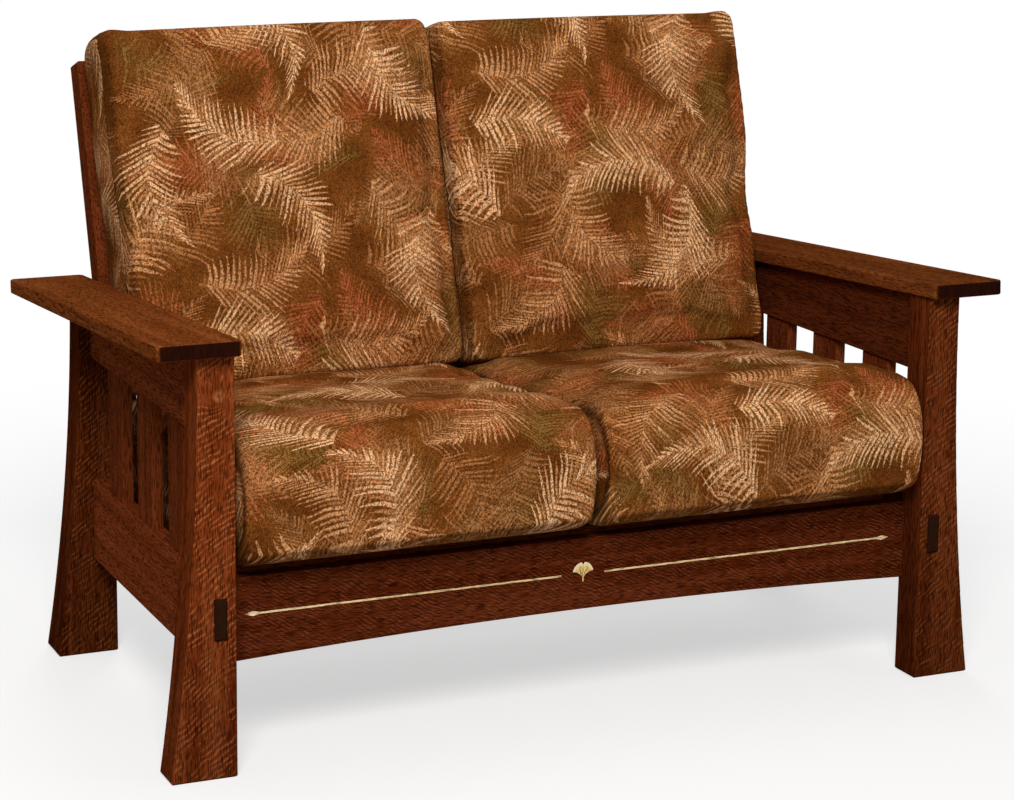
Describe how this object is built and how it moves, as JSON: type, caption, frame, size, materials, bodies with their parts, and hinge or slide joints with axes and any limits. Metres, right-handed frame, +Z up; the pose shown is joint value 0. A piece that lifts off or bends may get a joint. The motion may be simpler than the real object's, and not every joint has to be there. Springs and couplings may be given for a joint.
{
  "type": "loveseat",
  "caption": "Oak loveseat with flared legs, sloping flat arms over slatted sides, an arched and inlaid front rail, a reclined slatted back and loose box cushions.",
  "frame": {"origin": "on the floor under the middle of the bounding box", "axes": "+X to the right as seen from the front, +Y to the back, +Z up"},
  "size_m": [1.405, 0.8966, 1.0334],
  "materials": {
    "dark_oak": "satin lacquer over dark red-brown stained quartersawn oak",
    "arm_oak": "semi-gloss lacquer over dark stained oak",
    "plain_wood": "planed, unstained hardwood",
    "light_inlay": "pale wood under satin lacquer",
    "dark_steel": "blackened",
    "tapestry": "woven jacquard with palm fronds in gold, rust and olive on brown"
  },
  "bodies": {
    "frame": {"arm_bolts": "dark_steel", "arm_left": "arm_oak", "arm_right": "arm_oak", "back_lower_rail": "dark_oak", "back_post_left": "dark_oak", "back_post_right": "dark_oak", "back_slat_left_1": "dark_oak", "back_slat_left_2": "dark_oak", "back_slat_left_3": "dark_oak", "back_slat_left_4": "dark_oak", "back_slat_right_1": "dark_oak", "back_slat_right_2": "dark_oak", "back_slat_right_3": "dark_oak", "back_slat_right_4": "dark_oak", "back_stile": "dark_oak", "back_upper_rail": "dark_oak", "bolt_spacers": "dark_oak", "center_brace": "plain_wood", "corner_screws": "dark_steel", "deck_slat_1": "plain_wood", "deck_slat_2": "plain_wood", "deck_slat_3": "plain_wood", "deck_slat_4": "plain_wood", "deck_slat_5": "plain_wood", "deck_slat_6": "plain_wood", "deck_slat_7": "plain_wood", "deck_slat_8": "plain_wood", "deck_slat_9": "plain_wood", "front_cleat": "plain_wood", "front_corner_block_left": "plain_wood", "front_corner_block_right": "plain_wood", "front_leg_left": "dark_oak", "front_leg_right": "dark_oak", "front_rail": "dark_oak", "leaf_inlay": "light_inlay", "leg_bolts": "dark_steel", "lower_side_rail_left": "dark_oak", "lower_side_rail_right": "dark_oak", "rear_cleat": "plain_wood", "rear_corner_block_left": "plain_wood", "rear_corner_block_right": "plain_wood", "rear_leg_left": "dark_oak", "rear_leg_right": "dark_oak", "rear_rail": "dark_oak", "side_slat_1_left": "dark_oak", "side_slat_1_right": "dark_oak", "side_slat_2_left": "dark_oak", "side_slat_2_right": "dark_oak", "side_slat_3_left": "dark_oak", "side_slat_3_right": "dark_oak", "stringing_left": "light_inlay", "stringing_right": "light_inlay", "upper_side_rail_left": "dark_oak", "upper_side_rail_right": "dark_oak"},
    "seat_cushion_left_body": {"seat_cushion_left": "tapestry"},
    "seat_cushion_right_body": {"seat_cushion_right": "tapestry"},
    "back_cushion_left_body": {"back_cushion_left": "tapestry"},
    "back_cushion_right_body": {"back_cushion_right": "tapestry"}
  },
  "joints": [
    {"name": "seat_cushion_left_pull", "type": "slide", "parent": "frame", "child": "seat_cushion_left_body", "axis": [0, -0.9984, 0.0571], "range_m": [0, 0.7]},
    {"name": "seat_cushion_right_pull", "type": "slide", "parent": "frame", "child": "seat_cushion_right_body", "axis": [0, -0.9984, 0.0571], "range_m": [0, 0.7]},
    {"name": "back_cushion_left_lift", "type": "slide", "parent": "frame", "child": "back_cushion_left_body", "axis": [0, 0.299, 0.9542], "range_m": [0, 0.62]},
    {"name": "back_cushion_right_lift", "type": "slide", "parent": "frame", "child": "back_cushion_right_body", "axis": [0, 0.299, 0.9542], "range_m": [0, 0.62]}
  ]
}
